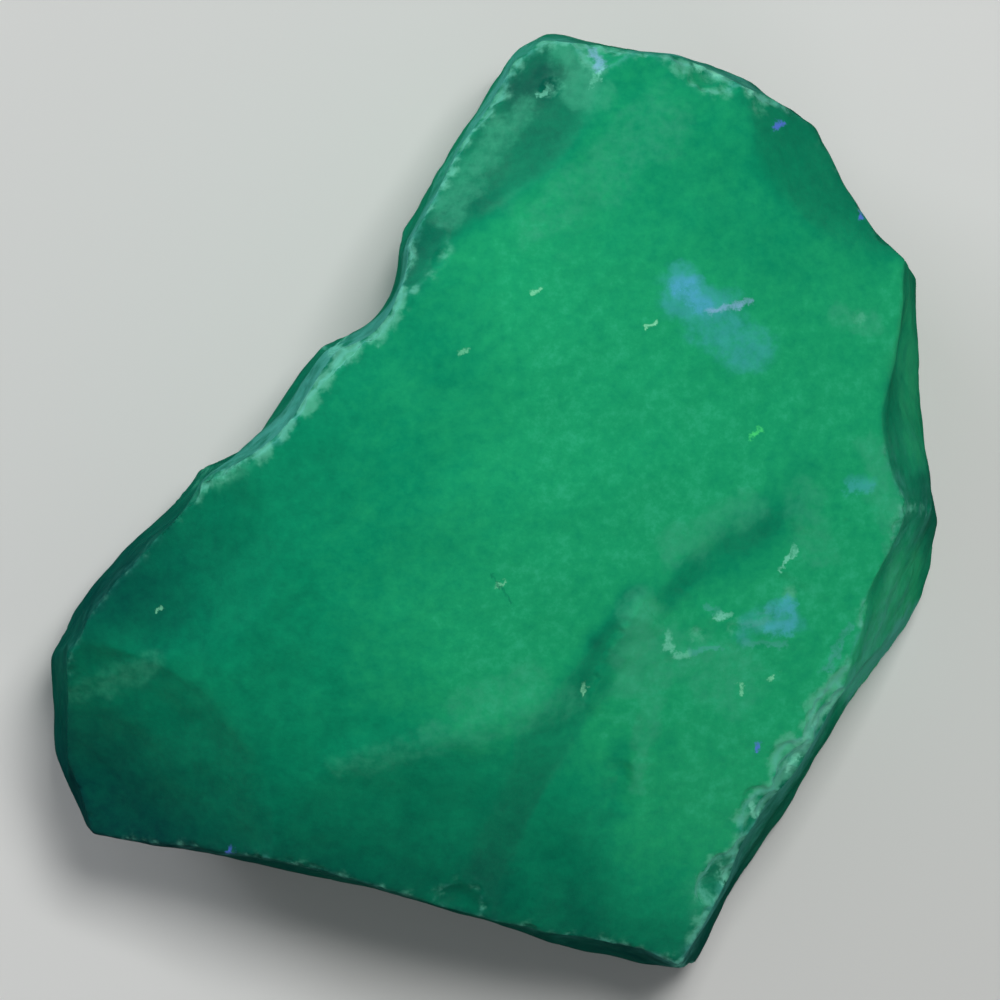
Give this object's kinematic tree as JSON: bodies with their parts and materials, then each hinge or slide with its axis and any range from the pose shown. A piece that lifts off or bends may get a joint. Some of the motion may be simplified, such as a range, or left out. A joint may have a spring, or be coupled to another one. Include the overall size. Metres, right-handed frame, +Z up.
{
  "type": "slag glass chunk",
  "caption": "Hand-sized lump of broken opaque glass with hollow fracture faces, sharp chipped ridges and a flat underside to rest on.",
  "frame": {"origin": "middle of the outline, on the flat underside that the lump lies on", "axes": "+Z up from the floor; +Y towards the narrow end, which is at the top of the picture; +X towards the side with the bump, at the right of the picture"},
  "size_m": [0.0772, 0.0808, 0.0332],
  "materials": {
    "glass": "satin, opaque, waxy green slag glass with cloudy teal and blue spots"
  },
  "bodies": {
    "root": {"slag_glass_chunk": "glass"}
  },
  "joints": []
}
